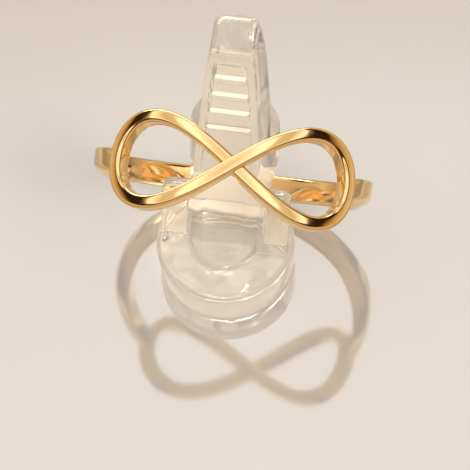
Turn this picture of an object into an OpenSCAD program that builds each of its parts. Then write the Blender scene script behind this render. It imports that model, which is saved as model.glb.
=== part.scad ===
// A gold ring with a lying figure eight for its head, held by a clear plastic stand.
// Z is up, the figure eight faces -Y and up, and the origin is the centre of the stand's underside.
// Sizes are millimetres and angles are degrees.

/* [Ring] */
// Inside diameter of the ring, measured across the band
ring_inner_d = 17.3; // [16.8:0.1:17.8]
// Thickness of the band at the back of the finger
band_t = 1.25; // [1:0.05:1.4]
// Width of the band at the back of the finger
band_w = 1.8; // [1.6:0.05:2]
// Width of the band at its two sides, where it is widest
band_side_w = 2.3; // [1.8:0.05:2.4]
// How far the band's front wall slopes back at its two sides, from the inside to the outside
band_bevel = 0.85; // [0:0.05:0.9]
// Width of the band where it meets the head
band_end_w = 1.25; // [1:0.05:1.5]
// Thickness of the band where it meets the head
band_end_t = 0.95; // [0.8:0.05:1.1]

/* [Figure eight] */
// Length of the figure eight between the middles of its two ends
eight_len = 16.5; // [16:0.1:17]
// Height of the figure eight between the middles of its strands
eight_h = 6.1; // [5.8:0.1:6.8]
// Width of the wire across its flat face
wire_w = 0.98; // [0.8:0.02:1.1]
// Depth of the wire, from its flat face to the finger
wire_d = 1.2; // [1:0.05:1.4]
// Rounding of the wire's edges
wire_round = 0.28; // [0.1:0.02:0.3]
// Radius that the figure eight is bent to round the finger
eight_bend_r = 12.5; // [12:0.1:14]
// Height of the flat face over the middle of the finger
eight_top = 9.05; // [8.8:0.05:9.3]
// Angle by which the figure eight tips back from the plane of the band
eight_tip = 11.4; // [0:0.2:12]
// How far the upper strand stands up at the crossing
over_rise = 0.12; // [0:0.02:0.2]
// How far the lower strand dips at the crossing
under_dip = 0.3; // [0.1:0.02:0.5]

/* [Ring on its stand] */
// Height of the ring's centre over the surface
ring_z = 10.5; // [10.4:0.05:10.7]
// Distance of the ring's centre behind the middle of the foot
ring_y = 1.4; // [1.2:0.05:1.6]
// Distance of the ring's centre to the side of the stand's middle
ring_x = 0.55; // [0:0.05:0.8]
// Angle by which the top of the ring leans forward
ring_lean = 24.4; // [23:0.1:26]
// Angle by which the ring is turned round the finger
ring_turn = 5; // [0:0.5:6]

/* [Stand] */
// Radius of the underside of the foot
foot_r = 4.7; // [4.5:0.05:4.9]
// Widest radius of the round body
body_r = 5.02; // [4.95:0.01:5.2]
// Height at which the round body is widest
body_wide_z = 2; // [1.5:0.1:2.4]
// Height of the top of the round body
body_h = 3.7; // [3.4:0.1:4]
// Width across the two shoulders
shoulder_w = 9.3; // [8.8:0.1:9.4]
// Height of the top of the shoulders
shoulder_top = 8.6; // [8:0.1:9]
// Thickness of the shoulders
shoulder_t = 0.9; // [0.7:0.05:1.2]
// Angle by which the shoulders lean back
shoulder_lean = 27; // [24:0.5:28]
// Radius of the corners of the shoulders
shoulder_corner = 0.7; // [0.4:0.1:1]
// Number of pockets down the front of the finger
pockets = 4; // [1:1:4]
// Width of the rail that is left on each side of the pockets
pocket_rail = 0.55; // [0.4:0.05:0.8]
// Height of a pocket
pocket_h = 1.05; // [0.5:0.05:1.2]
// Depth of a pocket
pocket_depth = 0.45; // [0.2:0.05:0.6]
// Gap between the ring and the seat that is cut for it
seat_gap = 0.1; // [0.05:0.01:0.15]

/* [Hidden] */

gold = [0.86, 0.65, 0.31];
clear = [0.86, 0.84, 0.80, 0.45];

inner_r = ring_inner_d / 2;

// Steps on each rounded corner of a swept section
corner_steps = 2;

// Thickness of the band on its way from the head to the side
band_way_t = mix(band_end_t, band_t, 0.6);
// The band from the figure eight (first row) to the back of the finger (last row):
// [angle from the top of the ring, width, thickness, how far its inside flares out, slope of the front wall]
BAND = [
    [54,  band_end_w,  band_end_t, 0.3,  0],
    [66,  band_side_w, band_way_t, 0.2,  band_bevel],
    [75,  band_side_w, band_way_t, 0.13, band_bevel],
    [96,  band_side_w, band_t,     0,    band_bevel],
    [125, band_w,      band_t,     0,    0],
    [180, band_w,      band_t,     0,    0],
];
// Degrees between the sections of the band
band_step = 6;
// Angle from the top of the ring at which the seat in the stand begins
seat_from = 108;

// Degrees between the sections of a strand
strand_step = 4.5;
// Turn on each side of a section from which the strand's direction is worked out
small_turn = 0.1;
// How quickly the rise and the dip fade away from the crossing
lift_fade = 4;
// Height about which the figure eight tips back, where the band joins it
tip_z = 4;

// The finger of the stand, from the body up to its tip:
// [height, front, back, half width of the front, half width of the back, bulge of the front]
// Front and back are distances behind the middle of the foot.
FINGER = [
    [3.0,  0.10, 3.9, 2.68, 2.60, 2.70],
    [4.2,  0.25, 4.2, 2.66, 2.70, 2.45],
    [5.5,  0.60, 4.8, 2.62, 2.90, 1.90],
    [8.0,  1.30, 6.1, 2.50, 3.30, 0.95],
    [10.3, 2.00, 7.0, 2.38, 3.20, 0.35],
    [11.8, 2.75, 7.7, 2.30, 2.50, 0.20],
    [13.4, 3.50, 8.4, 2.18, 2.30, 0.12],
    [16.2, 4.75, 9.3, 1.92, 2.05, 0.12],
    [18.4, 5.75, 9.8, 1.70, 1.75, 0.12],
    [19.3, 6.30, 9.8, 1.58, 1.60, 0.12],
    [19.9, 6.95, 9.5, 1.35, 1.40, 0.10],
    [20.2, 7.60, 8.9, 1.00, 1.05, 0.05],
];
finger_round = 0.7;
// Steps on each rounded corner of the finger
finger_steps = 4;
// Number of layers that the finger is built from
finger_layers = 40;

// Height of the lowest pocket and distance from one pocket to the next
pocket_z = 13.7;
pocket_pitch = 1.5;

// Distance of the foot of the shoulders in front of the middle of the ring
shoulder_ahead = 2.4;
// How deep the shoulders reach into the body
shoulder_root = 0.8;

// Rounding of the top rim of the body
rim_r = 0.5;
// Steps on each arc of the body's outline
body_steps = 4;

function mix(a, b, t) = a + (b - a) * t;
function unit(v) = v / norm(v);

// Row of a table at a value of its first column, in a straight line between the rows
function row_at(table, v, i = 0) =
    i >= len(table) - 2 || v <= table[i + 1][0]
        ? let (a = table[i], b = table[i + 1], t = (v - a[0]) / (b[0] - a[0]))
          mix(a, b, t)
        : row_at(table, v, i + 1);

// Rounded rectangle, as [across, out] pairs round its middle
function rounded_box(w, h, r, steps) = [
    for (q = [0:3], k = [0:steps])
        let (
            a = 90 * (q + k / steps),
            cx = (q == 0 || q == 3 ? 1 : -1) * (w / 2 - r),
            cy = (q < 2 ? 1 : -1) * (h / 2 - r)
        )
        [cx + r * cos(a), cy + r * sin(a)]
];

// Solid through a list of sections that all have the same number of points
module sweep(sections) {
    n = len(sections[0]);
    m = len(sections);
    points = [for (s = sections, p = s) p];
    sides = [
        for (i = [0:m - 2], j = [0:n - 1])
            let (a = i * n + j, b = i * n + (j + 1) % n)
            each [[a, b + n, b], [a, a + n, b + n]]
    ];
    first = [for (j = [0:n - 1]) j];
    last = [for (j = [n - 1:-1:0]) (m - 1) * n + j];
    polyhedron(points = points, faces = concat([first], sides, [last]), convexity = 8);
}

// A strand of the figure eight before it is tipped back.
// At turn 0 it is at the crossing, and at turn -90 and 90 at the two ends.
function eight_x(turn) = eight_len / 2 * sin(turn);
function eight_y(turn, side) = side * eight_h / 2 * sin(2 * turn);
function eight_z(turn, lift) =
    eight_top - eight_bend_r + sqrt(pow(eight_bend_r, 2) - pow(eight_x(turn), 2))
    + lift * pow(cos(turn), lift_fade);

function eight_point(turn, side, lift) = [eight_x(turn), eight_y(turn, side), eight_z(turn, lift)];

function eight_section(turn, side, lift) =
    let (
        p = eight_point(turn, side, lift),
        ahead = unit(eight_point(turn + small_turn, side, lift) - eight_point(turn - small_turn, side, lift)),
        face = [p[0] / eight_bend_r, 0, sqrt(1 - pow(p[0] / eight_bend_r, 2))],
        across = unit(cross(face, ahead)),
        out = unit(cross(ahead, across))
    )
    [
        for (q = rounded_box(wire_w, wire_d, wire_round, corner_steps))
            p + across * q[0] + out * (q[1] - wire_d / 2)
    ];

module strand(side, lift) {
    sweep([for (turn = [-90:strand_step:90]) eight_section(turn, side, lift)]);
}

module figure_eight() {
    translate([0, 0, tip_z]) rotate([-eight_tip, 0, 0]) translate([0, 0, -tip_z]) {
        strand(1, over_rise);
        strand(-1, -under_dip);
    }
}

// Section of the band at an angle from the top of the ring, grown by a gap on every side.
// Its front half leans back by the row's slope, so that the front wall faces out as well.
function band_section(angle, grow) =
    let (
        row = row_at(BAND, angle <= 180 ? angle : 360 - angle),
        width = row[1], thick = row[2], flare = row[3], slope = row[4],
        out = [sin(angle), 0, cos(angle)]
    )
    [
        for (q = rounded_box(width + 2 * grow, thick + 2 * grow, wire_round, corner_steps))
            out * (inner_r + flare + thick / 2 + q[1])
            + [0, q[0] + (q[0] < 0 ? slope * (q[1] / thick + 0.5) : 0), 0]
    ];

module band(from = BAND[0][0], grow = 0) {
    sweep([for (angle = [from:band_step:360 - from]) band_section(angle, grow)]);
}

// From the ring's own frame, with its axis along Y, to its place on the stand
module in_place() {
    translate([ring_x, ring_y, ring_z]) rotate([ring_lean, 0, 0]) rotate([0, ring_turn, 0]) children();
}

module infinity_ring() {
    color(gold) in_place() {
        figure_eight();
        band();
    }
}

// Round body of the stand, drawn in towards its foot
module body() {
    quarter = [for (k = [0:body_steps]) 90 * k / body_steps];
    below = [for (a = quarter) [foot_r + (body_r - foot_r) * sin(a), body_wide_z * (1 - cos(a))]];
    rim = [for (a = quarter) [body_r - rim_r + rim_r * cos(a), body_h - rim_r + rim_r * sin(a)]];
    rotate_extrude($fn = 96) polygon(concat([[0, 0]], below, rim, [[0, body_h]]));
}

// Plate with two rounded corners that leans back from the body
module shoulders() {
    plate_h = (shoulder_top - body_h) / cos(shoulder_lean);
    inset = shoulder_w / 2 - shoulder_corner;
    translate([0, ring_y - shoulder_ahead, body_h]) rotate([90 - shoulder_lean, 0, 0])
        translate([0, 0, -shoulder_t]) linear_extrude(shoulder_t) union() {
            translate([-shoulder_w / 2, -shoulder_root])
                square([shoulder_w, plate_h + shoulder_root - shoulder_corner]);
            translate([-inset, -shoulder_root]) square([2 * inset, plate_h + shoulder_root]);
            for (side = [-1, 1])
                translate([side * inset, plate_h - shoulder_corner]) circle(shoulder_corner, $fn = 48);
        }
}

// Section of the finger at a height: a flat back with rounded corners and a front that bulges
function finger_section(z) =
    let (
        row = row_at(FINGER, z),
        front = row[1], back = row[2], wf = row[3], wb = row[4], bulge = row[5],
        r = min(finger_round, wb / 2)
    )
    concat(
        [for (k = [0:finger_steps]) let (a = 90 * k / finger_steps)
            [wb - r + r * cos(a), back - r + r * sin(a), z]],
        [for (k = [0:finger_steps]) let (a = 90 + 90 * k / finger_steps)
            [-(wb - r) + r * cos(a), back - r + r * sin(a), z]],
        [for (k = [0:2 * finger_steps]) let (a = 180 + 180 * k / (2 * finger_steps))
            [wf * cos(a), front + bulge * sin(a), z]]
    );

module finger() {
    low = FINGER[0][0];
    high = FINGER[len(FINGER) - 1][0];
    sweep([for (i = [0:finger_layers]) finger_section(mix(low, high, i / finger_layers))]);
}

// Shallow pockets down the front of the finger, with a ledge at the bottom of each
module finger_pockets() {
    for (i = [0:pockets - 1]) {
        z = pocket_z + i * pocket_pitch;
        row = row_at(FINGER, z);
        next = row_at(FINGER, z + pocket_h);
        width = 2 * (row[3] - pocket_rail);
        translate([0, row[1] - row[5] + pocket_depth, z])
            rotate([-atan((next[1] - row[1]) / pocket_h), 0, 0])
                translate([-width / 2, -2 * pocket_depth, 0]) cube([width, 2 * pocket_depth, pocket_h]);
    }
}

module clear_stand() {
    color(clear) difference() {
        union() {
            body();
            shoulders();
            finger();
        }
        finger_pockets();
        in_place() band(from = seat_from, grow = seat_gap);
    }
}

infinity_ring();
clear_stand();
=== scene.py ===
from math import atan, atan2, cos, degrees, hypot, pi, radians, sin

import bpy
import bmesh
from mathutils import Matrix, Vector


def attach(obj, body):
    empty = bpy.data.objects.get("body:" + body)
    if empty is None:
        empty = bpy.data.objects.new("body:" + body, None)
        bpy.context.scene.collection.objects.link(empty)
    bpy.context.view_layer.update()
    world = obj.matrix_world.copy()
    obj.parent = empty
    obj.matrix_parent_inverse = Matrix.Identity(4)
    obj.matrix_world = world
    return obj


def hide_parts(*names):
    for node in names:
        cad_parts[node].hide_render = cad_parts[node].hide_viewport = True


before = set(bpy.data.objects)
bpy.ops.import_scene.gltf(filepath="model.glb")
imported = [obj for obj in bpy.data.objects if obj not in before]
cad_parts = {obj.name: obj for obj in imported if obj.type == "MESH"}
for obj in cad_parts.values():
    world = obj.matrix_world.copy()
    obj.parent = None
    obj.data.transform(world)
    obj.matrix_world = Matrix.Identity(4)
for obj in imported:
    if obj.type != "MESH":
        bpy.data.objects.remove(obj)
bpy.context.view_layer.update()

# Shapes are worked out in millimetres and turned into metres when a piece is finished
MM = 0.001
METRES = Matrix.Scale(MM, 4)

# Ring, as in the part's source
RING_INNER_R = 17.3 / 2
BAND_T, BAND_WAY_T, BAND_END_T = 1.25, 1.13, 0.95
BAND_W, BAND_SIDE_W, BAND_END_W = 1.8, 2.3, 1.25
BAND_BEVEL = 0.85
EDGE_ROUND = 0.28
# The band from the figure eight to the back of the finger:
# angle from the top of the ring, width, thickness, how far its inside flares out, slope of the front wall
BAND = [
    (54, BAND_END_W, BAND_END_T, 0.3, 0),
    (66, BAND_SIDE_W, BAND_WAY_T, 0.2, BAND_BEVEL),
    (75, BAND_SIDE_W, BAND_WAY_T, 0.13, BAND_BEVEL),
    (96, BAND_SIDE_W, BAND_T, 0, BAND_BEVEL),
    (125, BAND_W, BAND_T, 0, 0),
    (180, BAND_W, BAND_T, 0, 0),
]
# Degrees between the sections of the band, and steps on each rounded corner of a section
BAND_STEP, CORNER_STEPS = 2, 5

# Figure eight, as in the part's source
EIGHT = {
    "Length": 16.5,
    "Height": 6.1,
    "Wire width": 0.98,
    "Wire depth": 1.2,
    "Edge rounding": EDGE_ROUND,
    "Bend radius": 12.5,
    "Top": 9.05,
    "Over rise": 0.12,
    "Under dip": 0.3,
}
# Number of sections along the wire, and how quickly the rise and the dip fade away from the crossing
EIGHT_POINTS, LIFT_FADE = 288, 4.0
# Angle by which the figure eight tips back, and the height about which it tips
EIGHT_TIP, TIP_Z = 11.4, 4

# Place of the ring on its stand
RING_CENTRE = Vector((0.55, 1.4, 10.5))
RING_LEAN, RING_TURN = 24.4, 5
IN_PLACE = (
    Matrix.Translation(RING_CENTRE)
    @ Matrix.Rotation(radians(RING_LEAN), 4, "X")
    @ Matrix.Rotation(radians(RING_TURN), 4, "Y")
)
TIPPED = (
    Matrix.Translation((0, 0, TIP_Z))
    @ Matrix.Rotation(radians(-EIGHT_TIP), 4, "X")
    @ Matrix.Translation((0, 0, -TIP_Z))
)

# Body and shoulders of the stand, as in the part's source
FOOT_R, BODY_R, BODY_WIDE_Z, BODY_H, RIM_R = 4.7, 5.02, 2.0, 3.7, 0.5
SHOULDER_W, SHOULDER_TOP, SHOULDER_T, SHOULDER_LEAN = 9.3, 8.6, 0.9, 27
SHOULDER_CORNER, SHOULDER_AHEAD, SHOULDER_ROOT = 0.7, 2.4, 0.8
# Steps round the body, on each arc of its outline and on each corner of the shoulders
BODY_AROUND, BODY_STEPS, SHOULDER_STEPS = 144, 10, 8

# The finger from the body up to its tip, as in the part's source:
# height, front, back, half width of the front, half width of the back, bulge of the front
FINGER = [
    (3.0, 0.10, 3.9, 2.68, 2.60, 2.70),
    (4.2, 0.25, 4.2, 2.66, 2.70, 2.45),
    (5.5, 0.60, 4.8, 2.62, 2.90, 1.90),
    (8.0, 1.30, 6.1, 2.50, 3.30, 0.95),
    (10.3, 2.00, 7.0, 2.38, 3.20, 0.35),
    (11.8, 2.75, 7.7, 2.30, 2.50, 0.20),
    (13.4, 3.50, 8.4, 2.18, 2.30, 0.12),
    (16.2, 4.75, 9.3, 1.92, 2.05, 0.12),
    (18.4, 5.75, 9.8, 1.70, 1.75, 0.12),
    (19.3, 6.30, 9.8, 1.58, 1.60, 0.12),
    (19.9, 6.95, 9.5, 1.35, 1.40, 0.10),
    (20.2, 7.60, 8.9, 1.00, 1.05, 0.05),
]
FINGER_ROUND = 0.7
# Layers of the finger, and steps on each of its corners and across its front
FINGER_LAYERS, FINGER_CORNER_STEPS, FINGER_FRONT_STEPS = 90, 6, 16

# Pockets down the front of the finger, and the height of the lowest one
POCKETS = {"Count": 4, "Width": 3.2, "Narrowing": 0.28, "Height": 1.05, "Depth": 0.72, "Pitch": 1.5}
POCKET_Z = 13.7
# Channel down the front of the finger: its lowest and highest point, its depth and the rail on each side
CHANNEL_LOW, CHANNEL_HIGH, CHANNEL_DEPTH, RAIL = 5.0, 19.0, 0.28, 0.55
# How far the channel's cutter stands out in front of the finger's face
CHANNEL_OUT = 2

# Seat of the ring: the angle from the top of the ring at which it begins, and its gap
SEAT_FROM, SEAT_GAP = 108, 0.1
# How far from the band's space a face still counts as the seat's
SEAT_EDGE = 1.2 * SEAT_GAP
# Back of the finger over the seat: its top, and how far behind the foot's middle it begins
HEEL_TOP, HEEL_BEHIND = 6.2, 3
# How squarely a ledge looks up the finger and the heel looks back, from 0 to 1
LEDGE_UP, HEEL_BACK = 0.8, 0.7
# How far below the lowest pocket its ledge may lie
LEDGE_BELOW = 0.3

# Skin of the moulding: size of its steps and passes of smoothing, before and after the pockets are cut
STAND_VOXEL, STAND_SMOOTHING = 0.1, 2
POCKET_VOXEL, POCKET_SMOOTHING = 0.095, 1

# Angle in degrees past which an edge of a piece stays sharp
RING_SHARP, STAND_SHARP = 60, 50

# Camera, fitted to the photograph: the ring's centre is seen at this pixel of the frame
FRAME_PX = 470
FOCAL_PX = 3016
CAMERA_ELEVATION, CAMERA_TURN, CAMERA_ROLL = 65, 13.04, -4.69
CAMERA_DISTANCE = 213
RING_PIXEL = (232.5, 180.6)
# Width of the camera's sensor in millimetres
SENSOR = 36
# Nearest and farthest distance that the camera sees, in metres
NEAR, FAR = 0.005, 20

# Half the side of the floor, in metres
FLOOR_HALF = 1.5

# Soft lights: name, place and size in metres, strength in watts
KEY_LIGHT = ("key_light", (0.35, -0.25, 0.6), (0.3, 0.3), 4.0)
BACK_LIGHTS = [
    ("window_light", (-0.2, 0.7, 0.3), (0.9, 0.35), 1.0),
    ("strip_light", (-0.25, 0.7, 0.22), (0.9, 0.1), 1.8),
]
LIGHT_COLOUR = (1.0, 0.96, 0.90)

# Skies: the sine of the height over the horizon, from 0 to 1 overhead, and the colour there
# Light tent with a dark gap round it, which the gold and the floor mirror
TENT = [
    (0.00, (0.84, 0.72, 0.55)),
    (0.28, (0.66, 0.46, 0.23)),
    (0.38, (0.30, 0.17, 0.06)),
    (0.43, (0.02, 0.012, 0.006)),
    (0.58, (0.03, 0.018, 0.01)),
    (0.62, (0.25, 0.17, 0.08)),
    (0.66, (1.70, 1.65, 1.58)),
    (0.76, (0.78, 0.67, 0.50)),
    (0.85, (0.86, 0.75, 0.58)),
    (0.89, (1.60, 1.60, 1.60)),
    (0.94, (1.60, 1.60, 1.60)),
    (1.00, (1.00, 0.93, 0.83)),
]
# What the light meets that has passed through the plastic
PAST_PLASTIC = [
    (0.00, (0.85, 0.78, 0.69)),
    (0.06, (0.75, 0.67, 0.57)),
    (0.09, (0.06, 0.04, 0.02)),
    (0.19, (0.09, 0.06, 0.03)),
    (0.24, (1.90, 1.82, 1.70)),
    (0.34, (0.50, 0.42, 0.33)),
    (0.48, (0.54, 0.46, 0.37)),
    (0.66, (1.30, 1.21, 1.08)),
]
# Pale room, which is seen directly
ROOM = [
    (0.00, (0.72, 0.67, 0.60)),
    (0.60, (0.82, 0.78, 0.73)),
]

# The part of its range that a noise mostly keeps to
NOISE_LOW, NOISE_HIGH = 0.3, 0.7


def between(a, b, t):
    """The value a share t of the way from a to b."""
    return a + (b - a) * t


def rise(table, k, column):
    """How steeply a column of a table rises from row k to the next one."""
    return (table[k + 1][column] - table[k][column]) / (table[k + 1][0] - table[k][0])


def slope(table, k, column):
    """Slope at row k of a smooth curve through a column, flat where the column turns back."""
    last = len(table) - 1
    if k in (0, last):
        return rise(table, min(k, last - 1), column)
    before, after = rise(table, k - 1, column), rise(table, k, column)
    if before * after <= 0:
        return 0
    return 2 * before * after / (before + after)


def smooth_row(table, at):
    """The table's other columns at a value of its first one, on a smooth curve through its rows."""
    i = max(k for k in range(len(table) - 1) if k == 0 or table[k][0] <= at)
    span = table[i + 1][0] - table[i][0]
    t = min(max((at - table[i][0]) / span, 0), 1)
    row = []
    for column in range(1, len(table[0])):
        a, b = table[i][column], table[i + 1][column]
        slope_a, slope_b = slope(table, i, column) * span, slope(table, i + 1, column) * span
        row.append(
            a * (2 * t**3 - 3 * t**2 + 1) + slope_a * (t**3 - 2 * t**2 + t)
            + b * (3 * t**2 - 2 * t**3) + slope_b * (t**3 - t**2)
        )
    return row


def arc(x, y, radius, first, sweep, steps):
    """Points on an arc round a middle, from a first angle through a sweep, both in degrees."""
    angles = [radians(first + sweep * k / steps) for k in range(steps + 1)]
    return [(x + radius * cos(a), y + radius * sin(a)) for a in angles]


def rounded_box(width, height, radius):
    """Points round a rectangle with round corners, in the order of their angle."""
    points = []
    for quarter in range(4):
        x = (width / 2 - radius) * (1 if quarter in (0, 3) else -1)
        y = (height / 2 - radius) * (1 if quarter < 2 else -1)
        points += arc(x, y, radius, 90 * quarter, 90, CORNER_STEPS)
    return points


def mesh_through(name, rings):
    """A closed shell through rings of points, with a face over each end."""
    count = len(rings[0])
    bm = bmesh.new()
    rows = [[bm.verts.new(point) for point in ring] for ring in rings]
    for low, high in zip(rows, rows[1:]):
        for j in range(count):
            k = (j + 1) % count
            bm.faces.new((low[j], low[k], high[k], high[j]))
    bm.faces.new(list(reversed(rows[0])))
    bm.faces.new(rows[-1])
    bmesh.ops.recalc_face_normals(bm, faces=bm.faces)
    mesh = bpy.data.meshes.new(name)
    bm.to_mesh(mesh)
    bm.free()
    return mesh


def show(name, data):
    """An object in the scene that holds this mesh, light or camera."""
    thing = bpy.data.objects.new(name, data)
    bpy.context.scene.collection.objects.link(thing)
    return thing


def settled(thing):
    """Turns what the modifiers of a thing make of it into its plain mesh."""
    seen = thing.evaluated_get(bpy.context.evaluated_depsgraph_get())
    mesh = bpy.data.meshes.new_from_object(seen)
    thing.modifiers.clear()
    thing.data = mesh
    return mesh


def joined(name, meshes):
    """One mesh that holds all the faces of several."""
    bm = bmesh.new()
    for mesh in meshes:
        bm.from_mesh(mesh)
    whole = bpy.data.meshes.new(name)
    bm.to_mesh(whole)
    bm.free()
    return whole


def finished(thing, body, node, materials, sharp_angle):
    """Gives a piece its size in metres, its finishes and its body, and hides the node that it stands for."""
    thing.data.transform(METRES)
    numbers = [face.material_index for face in thing.data.polygons]
    thing.data.materials.clear()
    for material in materials:
        thing.data.materials.append(material)
    thing.data.polygons.foreach_set("material_index", numbers)
    thing.data.shade_smooth()
    thing.data.set_sharp_from_angle(angle=radians(sharp_angle))
    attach(thing, body)
    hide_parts(node)


class Tree:
    """A Geometry Nodes tree with named sizes, and short ways to add a node to it."""

    def __init__(self, name, sizes):
        self.group = bpy.data.node_groups.new(name, "GeometryNodeTree")
        face = self.group.interface
        face.new_socket("Geometry", in_out="OUTPUT", socket_type="NodeSocketGeometry")
        for label, value in sizes.items():
            kind = "NodeSocketInt" if isinstance(value, int) else "NodeSocketFloat"
            face.new_socket(label, in_out="INPUT", socket_type=kind).default_value = value
        self.given = self.group.nodes.new("NodeGroupInput").outputs
        self.end = self.group.nodes.new("NodeGroupOutput").inputs[0]

    def add(self, kind, sockets=None, **settings):
        """The outputs of a new node; sockets gives its inputs, each a value or another node's output."""
        node = self.group.nodes.new(kind)
        for label, value in settings.items():
            setattr(node, label, value)
        for label, value in (sockets or {}).items():
            if isinstance(value, bpy.types.NodeSocket):
                self.group.links.new(value, node.inputs[label])
            else:
                node.inputs[label].default_value = value
        return node.outputs

    def math(self, operation, *values):
        """A number worked out from others."""
        return self.add("ShaderNodeMath", dict(enumerate(values)), operation=operation)[0]

    def times(self, a, b):
        return self.math("MULTIPLY", a, b)

    def plus(self, a, b):
        return self.math("ADD", a, b)

    def minus(self, a, b):
        return self.math("SUBTRACT", a, b)

    def vector(self, x=0.0, y=0.0, z=0.0):
        """A vector made of three numbers."""
        return self.add("ShaderNodeCombineXYZ", {"X": x, "Y": y, "Z": z})[0]

    def arrow(self, operation, *values):
        """A vector worked out from others."""
        return self.add("ShaderNodeVectorMath", dict(enumerate(values)), operation=operation)[0]

    def made(self, geometry, sizes):
        """The mesh that the tree gives for these sizes."""
        whole = self.add("GeometryNodeRealizeInstances", {"Geometry": geometry})[0]
        dressed = self.add("GeometryNodeSetMaterial", {"Geometry": whole, "Material": bare})[0]
        self.group.links.new(dressed, self.end)
        holder = show(self.group.name, bpy.data.meshes.new(self.group.name))
        work = holder.modifiers.new("shape", "NODES")
        work.node_group = self.group
        for item in self.group.interface.items_tree:
            if item.in_out == "INPUT":
                work[item.identifier] = sizes[item.name]
        mesh = settled(holder)
        bpy.data.objects.remove(holder)
        return mesh


def figure_eight():
    """The closed wire of the figure eight, one strand over the other at the crossing."""
    tree = Tree("figure_eight", EIGHT)
    size = tree.given
    radius = size["Bend radius"]

    # The path lies as an eight round the finger, and at the crossing one strand rises and the other dips
    turn = tree.times(tree.add("GeometryNodeInputIndex")[0], 2 * pi / EIGHT_POINTS)
    x = tree.times(tree.times(size["Length"], 0.5), tree.math("SINE", turn))
    y = tree.times(tree.times(size["Height"], 0.5), tree.math("SINE", tree.times(turn, 2.0)))
    bend = tree.math("SQRT", tree.minus(tree.times(radius, radius), tree.times(x, x)))
    side = tree.math("COSINE", turn)
    over = tree.math("GREATER_THAN", side, 0.0)
    up = tree.times(over, size["Over rise"])
    down = tree.times(tree.minus(1.0, over), size["Under dip"])
    lift = tree.times(tree.minus(up, down), tree.math("POWER", tree.math("ABSOLUTE", side), LIFT_FADE))
    z = tree.plus(tree.plus(tree.minus(size["Top"], radius), bend), lift)
    ring = tree.add("GeometryNodeCurvePrimitiveCircle", {"Resolution": EIGHT_POINTS}, mode="RADIUS")[0]
    path = tree.add("GeometryNodeSetPosition", {"Geometry": ring, "Position": tree.vector(x, y, z)})[0]

    # The flat face points away from the middle of the bend, square to the wire
    place = tree.add("GeometryNodeInputPosition")[0]
    slant = tree.math("DIVIDE", tree.add("ShaderNodeSeparateXYZ", {"Vector": place})["X"], radius)
    upright = tree.math("SQRT", tree.minus(1.0, tree.times(slant, slant)))
    ahead = tree.add("GeometryNodeInputTangent")[0]
    across = tree.arrow("CROSS_PRODUCT", tree.vector(slant, 0.0, upright), ahead)
    square = tree.arrow("NORMALIZE", tree.arrow("CROSS_PRODUCT", ahead, across))
    path = tree.add("GeometryNodeSetCurveNormal", {"Curve": path, "Normal": square}, mode="FREE")[0]

    # The section hangs below the path, which runs along the middle of the flat face
    section = tree.add(
        "GeometryNodeCurvePrimitiveQuadrilateral",
        {"Width": size["Wire depth"], "Height": size["Wire width"]},
        mode="RECTANGLE",
    )[0]
    section = tree.add(
        "GeometryNodeFilletCurve",
        {"Curve": section, "Count": CORNER_STEPS, "Radius": size["Edge rounding"]},
        mode="POLY",
    )[0]
    below = tree.vector(tree.times(size["Wire depth"], -0.5))
    section = tree.add("GeometryNodeSetPosition", {"Geometry": section, "Offset": below})[0]
    wire = tree.add("GeometryNodeCurveToMesh", {"Curve": path, "Profile Curve": section})[0]
    return tree.made(wire, EIGHT)


def pocket_blocks():
    """The blocks that cut the pockets, one above the other along Z, each narrower than the one below."""
    tree = Tree("pocket_blocks", POCKETS)
    size = tree.given
    block_size = tree.vector(size["Width"], tree.times(size["Depth"], 2.0), size["Height"])
    block = tree.add("GeometryNodeMeshCube", {"Size": block_size})[0]
    pitch = tree.vector(z=size["Pitch"])
    line = tree.add("GeometryNodeMeshLine", {"Count": size["Count"], "Offset": pitch}, mode="OFFSET")[0]
    number = tree.add("GeometryNodeInputIndex")[0]
    taper = tree.math("DIVIDE", tree.times(number, size["Narrowing"]), size["Width"])
    scale = tree.vector(tree.minus(1.0, taper), 1.0, 1.0)
    row = tree.add("GeometryNodeInstanceOnPoints", {"Points": line, "Instance": block, "Scale": scale})[0]
    return tree.made(row, POCKETS)


def band_mesh(name, start=BAND[0][0], grow=0.0):
    """The band from one end to the other, grown by a gap on every side where it is a cutter."""
    rings = []
    for k in range(int((360 - 2 * start) / BAND_STEP) + 1):
        angle = start + k * BAND_STEP
        width, thick, flare, lean = smooth_row(BAND, min(angle, 360 - angle))
        out = Vector((sin(radians(angle)), 0, cos(radians(angle))))
        middle = RING_INNER_R + flare + thick / 2
        ring = []
        for p, q in rounded_box(width + 2 * grow, thick + 2 * grow, EDGE_ROUND):
            back = lean * (q / thick + 0.5) if p < 0 else 0
            ring.append(out * (middle + q) + Vector((0, p + back, 0)))
        rings.append(ring)
    return mesh_through(name, rings)


def infinity_ring():
    """The figure eight and the band as one piece of metal, in its place on the stand."""
    eight = figure_eight()
    eight.transform(TIPPED)
    ring = show("polished_ring", eight)
    band = show("band", band_mesh("band"))
    weld = ring.modifiers.new("weld", "BOOLEAN")
    weld.operation, weld.solver, weld.use_self, weld.object = "UNION", "EXACT", True, band
    settled(ring)
    bpy.data.objects.remove(band)
    ring.data.transform(IN_PLACE)
    return ring


def body_mesh():
    """The round body, drawn in towards its foot and rounded at its rim."""
    quarter = [radians(90 * k / BODY_STEPS) for k in range(BODY_STEPS + 1)]
    outline = [(FOOT_R + (BODY_R - FOOT_R) * sin(a), BODY_WIDE_Z * (1 - cos(a))) for a in quarter]
    outline += arc(BODY_R - RIM_R, BODY_H - RIM_R, RIM_R, 0, 90, BODY_STEPS)
    around = [2 * pi * k / BODY_AROUND for k in range(BODY_AROUND)]
    return mesh_through("body", [[(r * cos(a), r * sin(a), z) for a in around] for r, z in outline])


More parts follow.
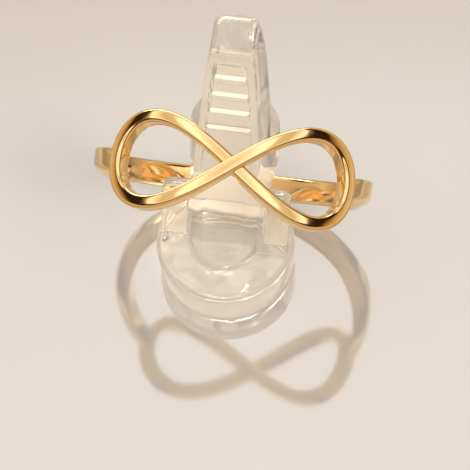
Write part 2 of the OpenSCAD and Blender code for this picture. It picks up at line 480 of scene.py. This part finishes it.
def shoulders_mesh():
    """The plate with two rounded corners that leans back from the body."""
    height = (SHOULDER_TOP - BODY_H) / cos(radians(SHOULDER_LEAN))
    inset, corner_y = SHOULDER_W / 2 - SHOULDER_CORNER, height - SHOULDER_CORNER
    outline = [(SHOULDER_W / 2, -SHOULDER_ROOT)]
    outline += arc(inset, corner_y, SHOULDER_CORNER, 0, 90, SHOULDER_STEPS)
    outline += arc(-inset, corner_y, SHOULDER_CORNER, 90, 90, SHOULDER_STEPS)
    outline.append((-SHOULDER_W / 2, -SHOULDER_ROOT))
    plate = mesh_through("shoulders", [[(x, y, z) for x, y in outline] for z in (-SHOULDER_T, 0)])
    plate.transform(
        Matrix.Translation((0, RING_CENTRE.y - SHOULDER_AHEAD, BODY_H))
        @ Matrix.Rotation(radians(90 - SHOULDER_LEAN), 4, "X")
    )
    return plate


def finger_mesh():
    """The finger, with a flat back, round corners and a front that bulges towards the body."""
    rings = []
    for layer in range(FINGER_LAYERS + 1):
        z = between(FINGER[0][0], FINGER[-1][0], layer / FINGER_LAYERS)
        front, back, front_half, back_half, bulge = smooth_row(FINGER, z)
        r = min(FINGER_ROUND, back_half / 2)
        ring = arc(back_half - r, back - r, r, 0, 90, FINGER_CORNER_STEPS)
        ring += arc(r - back_half, back - r, r, 90, 90, FINGER_CORNER_STEPS)
        for x, y in arc(0, 0, 1, 180, 180, FINGER_FRONT_STEPS):
            ring.append((front_half * x, front + bulge * y))
        rings.append([(x, y, z) for x, y in ring])
    return mesh_through("finger", rings)


def finger_face(z):
    """How far back the middle of the finger's front lies at a height, and half the front's width there."""
    front, _, front_half, _, bulge = smooth_row(FINGER, z)
    return front - bulge, front_half


def channel_mesh():
    """The space of the channel, as wide as the finger's front between its rails."""
    rings = []
    for layer in range(FINGER_LAYERS + 1):
        z = between(CHANNEL_LOW, CHANNEL_HIGH, layer / FINGER_LAYERS)
        face, front_half = finger_face(z)
        half, floor = front_half - RAIL, face + CHANNEL_DEPTH
        out = floor - CHANNEL_OUT
        rings.append([(half, floor, z), (-half, floor, z), (-half, out, z), (half, out, z)])
    return mesh_through("channel", rings)


def cut(thing, mesh):
    """Takes the space of a closed shell out of a thing."""
    tool = show("cutter", mesh)
    saw = thing.modifiers.new("cut", "BOOLEAN")
    saw.operation, saw.solver, saw.object = "DIFFERENCE", "MANIFOLD", tool
    settled(thing)
    bpy.data.objects.remove(tool)


def melted(thing, voxel, smoothing):
    """Runs a thing's shells into one skin and eases its edges, as in a mould."""
    melt = thing.modifiers.new("melt", "REMESH")
    melt.mode, melt.voxel_size = "VOXEL", voxel
    ease = thing.modifiers.new("ease", "SMOOTH")
    ease.factor, ease.iterations = 0.5, smoothing
    settled(thing)


def frost_and_highlight(stand, lean):
    """Gives the ring's seat and the back of the finger over it the dull finish, and the ledges of the pockets
    the same pale finish as a painted highlight.
    """
    in_ring = IN_PLACE.inverted()
    up = Vector((0, sin(lean), cos(lean)))
    bottom, top = POCKET_Z - LEDGE_BELOW, POCKET_Z + POCKETS["Count"] * POCKETS["Pitch"]
    for face in stand.data.polygons:
        middle, normal = face.center, face.normal
        # Ledges that face up the finger take the pale dull finish as a painted highlight
        highlight_ledge = bottom < middle.z < top and normal.dot(up) > LEDGE_UP
        heel = BODY_H < middle.z < HEEL_TOP and middle.y > HEEL_BEHIND and normal.y > HEEL_BACK
        x, y, z = in_ring @ middle
        width, thick, _, _ = smooth_row(BAND, degrees(atan2(abs(x), z)))
        beside = abs(y) < width / 2 + SEAT_EDGE
        seat = beside and -SEAT_EDGE < hypot(x, z) - RING_INNER_R < thick + SEAT_EDGE
        face.material_index = int(highlight_ledge or heel or seat)


def clear_stand():
    """The stand as one moulding, with the pockets in its finger and the seat of the ring cut out."""
    stand = show("moulded_stand", joined("moulded_stand", [body_mesh(), shoulders_mesh(), finger_mesh()]))
    melted(stand, STAND_VOXEL, STAND_SMOOTHING)
    row_height = (POCKETS["Count"] - 1) * POCKETS["Pitch"]
    low, high = finger_face(POCKET_Z)[0], finger_face(POCKET_Z + row_height)[0]
    lean = atan((high - low) / row_height)
    blocks = pocket_blocks()
    blocks.transform(
        Matrix.Translation((0, low, POCKET_Z))
        @ Matrix.Rotation(-lean, 4, "X")
        @ Matrix.Translation((0, 0, POCKETS["Height"] / 2))
    )
    cut(stand, channel_mesh())
    cut(stand, blocks)
    melted(stand, POCKET_VOXEL, POCKET_SMOOTHING)
    seat = band_mesh("seat", SEAT_FROM, SEAT_GAP)
    seat.transform(IN_PLACE)
    cut(stand, seat)
    frost_and_highlight(stand, lean)
    return stand


def coloured(tree, source, stops):
    """The colour that a ramp with these stops gives for a number in a material's or the world's tree."""
    node = tree.nodes.new("ShaderNodeValToRGB")
    points = node.color_ramp.elements
    while len(points) < len(stops):
        points.new(0.5)
    for point, (at, colour) in zip(points, stops):
        point.position, point.color = at, (*colour, 1)
    tree.links.new(source, node.inputs[0])
    return node.outputs[0]


class Finish:
    """A material's nodes round one Principled shader, with short ways to add a pattern to it."""

    def __init__(self, name, **fixed):
        self.material = bpy.data.materials.new(name)
        self.material.use_nodes = True
        self.tree = self.material.node_tree
        self.shader = self.tree.nodes["Principled BSDF"]
        for label, value in fixed.items():
            self.shader.inputs[label.replace("_", " ")].default_value = value
        where = self.tree.nodes.new("ShaderNodeTexCoord").outputs["Object"]
        self.place = self.stretched(where, (1 / MM, 1 / MM, 1 / MM))

    def stretched(self, where, scale):
        """Coordinates that run faster or slower along each axis; a piece's own are in millimetres."""
        node = self.tree.nodes.new("ShaderNodeMapping")
        node.inputs["Scale"].default_value = scale
        self.tree.links.new(where, node.inputs["Vector"])
        return node.outputs[0]

    def noise(self, per_mm, detail=3.0, where=None):
        """A soft random pattern with about so many blots to the millimetre."""
        node = self.tree.nodes.new("ShaderNodeTexNoise")
        node.inputs["Scale"].default_value = per_mm
        node.inputs["Detail"].default_value = detail
        self.tree.links.new(where or self.place, node.inputs["Vector"])
        return node.outputs["Fac"]

    def tint(self, source, dark, light):
        """Colours the surface from one shade to another by a pattern."""
        stops = [(NOISE_LOW, dark), (NOISE_HIGH, light)]
        self.link(coloured(self.tree, source, stops), "Base Color")

    def gloss(self, source, smooth, rough):
        """Makes the surface more and less rough by a pattern."""
        node = self.tree.nodes.new("ShaderNodeMapRange")
        ends = {"From Min": NOISE_LOW, "From Max": NOISE_HIGH, "To Min": smooth, "To Max": rough}
        for label, value in ends.items():
            node.inputs[label].default_value = value
        self.tree.links.new(source, node.inputs["Value"])
        self.link(node.outputs[0], "Roughness")

    def relief(self, source, height_mm, under=None):
        """The surface's direction where a pattern raises it, on top of another relief if one is given."""
        node = self.tree.nodes.new("ShaderNodeBump")
        node.inputs["Strength"].default_value = 1
        node.inputs["Distance"].default_value = height_mm * MM
        self.tree.links.new(source, node.inputs["Height"])
        if under:
            self.tree.links.new(under, node.inputs["Normal"])
        return node.outputs[0]

    def link(self, source, label):
        """Feeds one of the shader's inputs."""
        self.tree.links.new(source, self.shader.inputs[label])


def polished_gold():
    """Yellow gold with a hand polish: faint waves, fine wheel marks and a slightly uneven gloss."""
    gold = Finish("polished_gold", Metallic=1.0)
    gold.tint(gold.noise(per_mm=0.6), (0.89, 0.61, 0.28), (0.93, 0.66, 0.34))
    gold.gloss(gold.noise(per_mm=3.0), 0.05, 0.12)
    marks = gold.noise(per_mm=6.0, detail=2.0, where=gold.stretched(gold.place, (0.4, 3, 3)))
    waves = gold.relief(gold.noise(per_mm=0.8, detail=1.0), height_mm=0.012)
    gold.link(gold.relief(marks, height_mm=0.0006, under=waves), "Normal")
    return gold.material


def clear_plastic():
    """Clear moulded plastic: smooth and slightly wavy, with a few faint flow lines."""
    clear = Finish("clear_plastic", Transmission_Weight=0.95, IOR=1.49)
    clear.tint(clear.noise(per_mm=0.3), (0.93, 0.87, 0.79), (0.97, 0.92, 0.86))
    clear.gloss(clear.noise(per_mm=1.5), 0.0, 0.02)
    flow = clear.noise(per_mm=1.0, detail=2.0, where=clear.stretched(clear.place, (1, 1, 0.3)))
    clear.link(clear.relief(flow, height_mm=0.02), "Normal")
    return clear.material


def frosted_plastic_and_highlight():
    """The same plastic made dull and pale: on the seat, on the heel, and on the ledges of the pockets, where
    its pale colour is a painted highlight.
    """
    dull = Finish("frosted_plastic_and_highlight", Transmission_Weight=0.2, IOR=1.49)
    # Pale colour, which on the ledges is a painted highlight
    dull.tint(dull.noise(per_mm=0.8), (0.79, 0.72, 0.64), (0.84, 0.78, 0.70))
    dull.gloss(dull.noise(per_mm=3.0), 0.4, 0.6)
    rubs = dull.noise(per_mm=9.0, detail=2.0, where=dull.stretched(dull.place, (0.3, 2, 2)))
    dull.link(dull.relief(rubs, height_mm=0.01), "Normal")
    return dull.material


def plain_floor():
    """A wide pale floor with a soft gloss."""
    pale = Finish("pale_floor", Metallic=0.4, Roughness=0.07)
    pale.tint(pale.noise(per_mm=0.02), (0.50, 0.47, 0.43), (0.53, 0.50, 0.465))
    corners = [(-1, -1), (1, -1), (1, 1), (-1, 1)]
    mesh = bpy.data.meshes.new("floor")
    mesh.from_pydata([(x * FLOOR_HALF, y * FLOOR_HALF, 0) for x, y in corners], [], [(0, 1, 2, 3)])
    mesh.materials.append(pale.material)
    show("floor", mesh)


def camera():
    """The camera that sees the ring as the photograph does."""
    height, turn, roll = radians(CAMERA_ELEVATION), radians(CAMERA_TURN), radians(CAMERA_ROLL)
    towards = Vector((sin(turn) * cos(height), -cos(turn) * cos(height), sin(height)))
    level = Vector((0, 0, 1)).cross(towards).normalized()
    raised = towards.cross(level)
    right = cos(roll) * level + sin(roll) * raised
    up = cos(roll) * raised - sin(roll) * level
    aside = (FRAME_PX / 2 - RING_PIXEL[0]) / FOCAL_PX * CAMERA_DISTANCE
    above = (FRAME_PX / 2 - RING_PIXEL[1]) / FOCAL_PX * CAMERA_DISTANCE
    spot = RING_CENTRE + towards * CAMERA_DISTANCE + right * aside - up * above
    data = bpy.data.cameras.new("camera")
    data.sensor_width, data.sensor_height, data.sensor_fit = SENSOR, SENSOR, "HORIZONTAL"
    data.lens = SENSOR * FOCAL_PX / FRAME_PX
    data.clip_start, data.clip_end = NEAR, FAR
    eye = show("camera", data)
    turned = Matrix((right, up, towards)).transposed().to_4x4()
    eye.matrix_world = Matrix.Translation(spot * MM) @ turned
    bpy.context.scene.camera = eye


def softbox(name, place, size, watts):
    """A soft light of a width and a height that shines from its place at the object."""
    data = bpy.data.lights.new(name, "AREA")
    data.shape, data.energy, data.color = "RECTANGLE", watts, LIGHT_COLOUR
    data.size, data.size_y = size
    box = show(name, data)
    box.location = place
    box.rotation_euler = (-Vector(place)).to_track_quat("-Z", "Y").to_euler()
    return box


def sky():
    """The world's light: the tent, but another sky past the plastic and a pale room for the camera."""
    world = bpy.data.worlds.new("studio")
    bpy.context.scene.world = world
    world.use_nodes = True
    tree = world.node_tree
    apart = tree.nodes.new("ShaderNodeSeparateXYZ")
    tree.links.new(tree.nodes.new("ShaderNodeTexCoord").outputs["Generated"], apart.inputs[0])
    height = apart.outputs["Z"]
    ray = tree.nodes.new("ShaderNodeLightPath").outputs
    colour = coloured(tree, height, TENT)
    for stops, kind in ((PAST_PLASTIC, "Transmission Depth"), (ROOM, "Is Camera Ray")):
        choice = tree.nodes.new("ShaderNodeMix")
        choice.data_type = "RGBA"
        first, second = [socket for socket in choice.inputs if socket.type == "RGBA"]
        tree.links.new(ray[kind], choice.inputs[0])
        tree.links.new(colour, first)
        tree.links.new(coloured(tree, height, stops), second)
        colour = next(socket for socket in choice.outputs if socket.type == "RGBA")
    tree.links.new(colour, tree.nodes["Background"].inputs["Color"])


def studio(things):
    """The sky, a key light that nothing mirrors, and two back lights for these things alone."""
    sky()
    softbox(*KEY_LIGHT).visible_glossy = False
    group = bpy.data.collections.new("lit_from_behind")
    for thing in things:
        group.objects.link(thing)
    for light in BACK_LIGHTS:
        softbox(*light).light_linking.receiver_collection = group


bpy.context.scene.view_settings.view_transform = "Standard"
# Holds the place of the finishes while Geometry Nodes make a shape
bare = bpy.data.materials.new("bare")
camera()
plain_floor()
ring, stand = infinity_ring(), clear_stand()
# Clear plastic passes the light on
stand.visible_shadow = False
finished(ring, "root", "infinity_ring", [polished_gold()], RING_SHARP)
finished(stand, "root", "clear_stand", [clear_plastic(), frosted_plastic_and_highlight()], STAND_SHARP)
studio([ring, stand])
